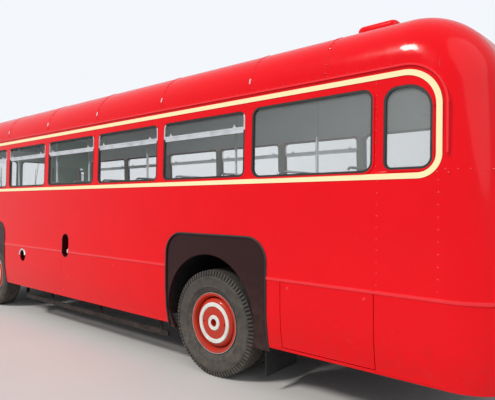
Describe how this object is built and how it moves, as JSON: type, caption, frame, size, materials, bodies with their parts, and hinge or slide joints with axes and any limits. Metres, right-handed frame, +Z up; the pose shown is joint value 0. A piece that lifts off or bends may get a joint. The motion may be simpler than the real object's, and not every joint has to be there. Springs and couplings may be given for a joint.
{
  "type": "single-decker bus",
  "caption": "Single-decker service bus with a folding front entrance, underfloor engine, twin rear wheels, half-drop side windows and a full cab.",
  "frame": {"origin": "on the ground below the middle of the vehicle", "axes": "+X to the rear, -Y to the nearside with the entrance, +Z up"},
  "size_m": [9.144, 2.73, 3.145],
  "materials": {
    "body_red": "gloss",
    "cream": "gloss",
    "arch_dark": "satin",
    "bright_alloy": "brushed",
    "glass": "clear",
    "rubber_black": "matt",
    "chassis_black": "satin",
    "wheel_red": "gloss",
    "tyre": "matt",
    "engine_grey": "satin",
    "exhaust_iron": "rough",
    "floor_brown": "matt",
    "lining_green": "satin",
    "seat_hide": "satin",
    "seat_tube": "polished",
    "dash_black": "matt"
  },
  "bodies": {
    "body": {"nearside_wall": "body_red", "offside_wall": "body_red", "roof": "body_red", "lower_panels": "body_red", "front_end": "body_red", "rear_end": "body_red", "roof_ventilators": "body_red", "window_frames": "bright_alloy", "saloon_glass": "glass", "end_glass": "glass", "window_gaskets": "rubber_black", "waist_bands": "cream", "body_mouldings": "body_red", "wheel_arch_panels": "arch_dark", "mud_flaps": "rubber_black", "lamps": "bright_alloy", "mirrors": "rubber_black", "chassis_frame": "chassis_black", "front_axle_beam": "chassis_black", "rear_axle_casing": "chassis_black", "road_springs": "chassis_black", "engine_block": "engine_grey", "gearbox_and_propshaft": "engine_grey", "radiator": "chassis_black", "tanks": "chassis_black", "exhaust": "exhaust_iron", "floor": "floor_brown", "wheel_boxes": "floor_brown", "lifeguard_rails": "chassis_black", "seat_cushions": "seat_hide", "seat_frames": "seat_tube", "wheel_box_benches": "floor_brown", "bench_cushions": "seat_hide", "grab_rails": "seat_tube", "cab_partition": "lining_green", "dashboard": "dash_black", "steering_column": "dash_black", "driver_seat_frame": "chassis_black", "driver_seat_cushions": "seat_hide", "wipers": "rubber_black"},
    "knuckle_left": {"knuckle_left": "chassis_black"},
    "knuckle_right": {"knuckle_right": "chassis_black"},
    "track_rod": {"track_rod": "chassis_black"},
    "front_left_wheel": {"wheel_front_left": "wheel_red", "tyre_front_left": "tyre"},
    "front_right_wheel": {"wheel_front_right": "wheel_red", "tyre_front_right": "tyre"},
    "rear_left_wheels": {"wheel_rear_left": "wheel_red", "tyres_rear_left": "tyre"},
    "rear_right_wheels": {"wheel_rear_right": "wheel_red", "tyres_rear_right": "tyre"},
    "entrance_front": {"door_leaf_front": "body_red", "door_glass_front": "glass"},
    "entrance_rear": {"door_leaf_rear": "body_red", "door_glass_rear": "glass"},
    "rear_door": {"emergency_door": "body_red", "emergency_door_glass": "glass"},
    "side_flap": {"locker_flap": "body_red"},
    "cab_gate": {"cab_door": "lining_green"}
  },
  "joints": [
    {"name": "steer_left", "type": "hinge", "parent": "body", "child": "knuckle_left", "pos_m": [-3.016, -0.805, 0.509], "axis": [0, 0, 1], "range_deg": [-35, 35]},
    {"name": "steer_right", "type": "hinge", "parent": "body", "child": "knuckle_right", "pos_m": [-3.016, 0.805, 0.509], "axis": [0, 0, 1], "range_deg": [-35, 35]},
    {"name": "track_rod_eye", "type": "hinge", "parent": "knuckle_left", "child": "track_rod", "pos_m": [-2.836, -0.805, 0.383], "axis": [0, 0, 1], "range_deg": [-35, 35]},
    {"name": "wheel_front_left_spin", "type": "hinge", "parent": "knuckle_left", "child": "front_left_wheel", "pos_m": [-3.016, -0.948, 0.509], "axis": [0, 1, 0], "continuous": true},
    {"name": "wheel_front_right_spin", "type": "hinge", "parent": "knuckle_right", "child": "front_right_wheel", "pos_m": [-3.016, 0.948, 0.509], "axis": [0, 1, 0], "continuous": true},
    {"name": "wheel_rear_left_spin", "type": "hinge", "parent": "body", "child": "rear_left_wheels", "pos_m": [1.962, -0.948, 0.509], "axis": [0, 1, 0], "continuous": true},
    {"name": "wheel_rear_right_spin", "type": "hinge", "parent": "body", "child": "rear_right_wheels", "pos_m": [1.962, 0.948, 0.509], "axis": [0, 1, 0], "continuous": true},
    {"name": "entrance_front_leaf", "type": "hinge", "parent": "body", "child": "entrance_front", "pos_m": [-4.218, -1.03, 1], "axis": [0, 0, 1], "range_deg": [0, 85]},
    {"name": "entrance_rear_leaf", "type": "hinge", "parent": "entrance_front", "child": "entrance_rear", "pos_m": [-3.95, -1.049, 1], "axis": [0, 0, 1], "range_deg": [-170, 0]},
    {"name": "emergency_door_hinge", "type": "hinge", "parent": "body", "child": "rear_door", "pos_m": [4.544, 0.32, 1.04], "axis": [-0.0872, 0, 0.9962], "range_deg": [0, 100]},
    {"name": "locker_flap_hinge", "type": "hinge", "parent": "body", "child": "side_flap", "pos_m": [3.235, -1.107, 0.45], "axis": [1, 0, 0], "range_deg": [0, 95]},
    {"name": "cab_door_hinge", "type": "hinge", "parent": "body", "child": "cab_gate", "pos_m": [-3.665, 0.118, 1.4], "axis": [0, 0, 1], "range_deg": [0, 90]}
  ],
  "couplings": [
    {"joint": "steer_right", "follows": "steer_left", "ratio": 1},
    {"joint": "track_rod_eye", "follows": "steer_left", "ratio": -1},
    {"joint": "entrance_rear_leaf", "follows": "entrance_front_leaf", "ratio": -2}
  ]
}
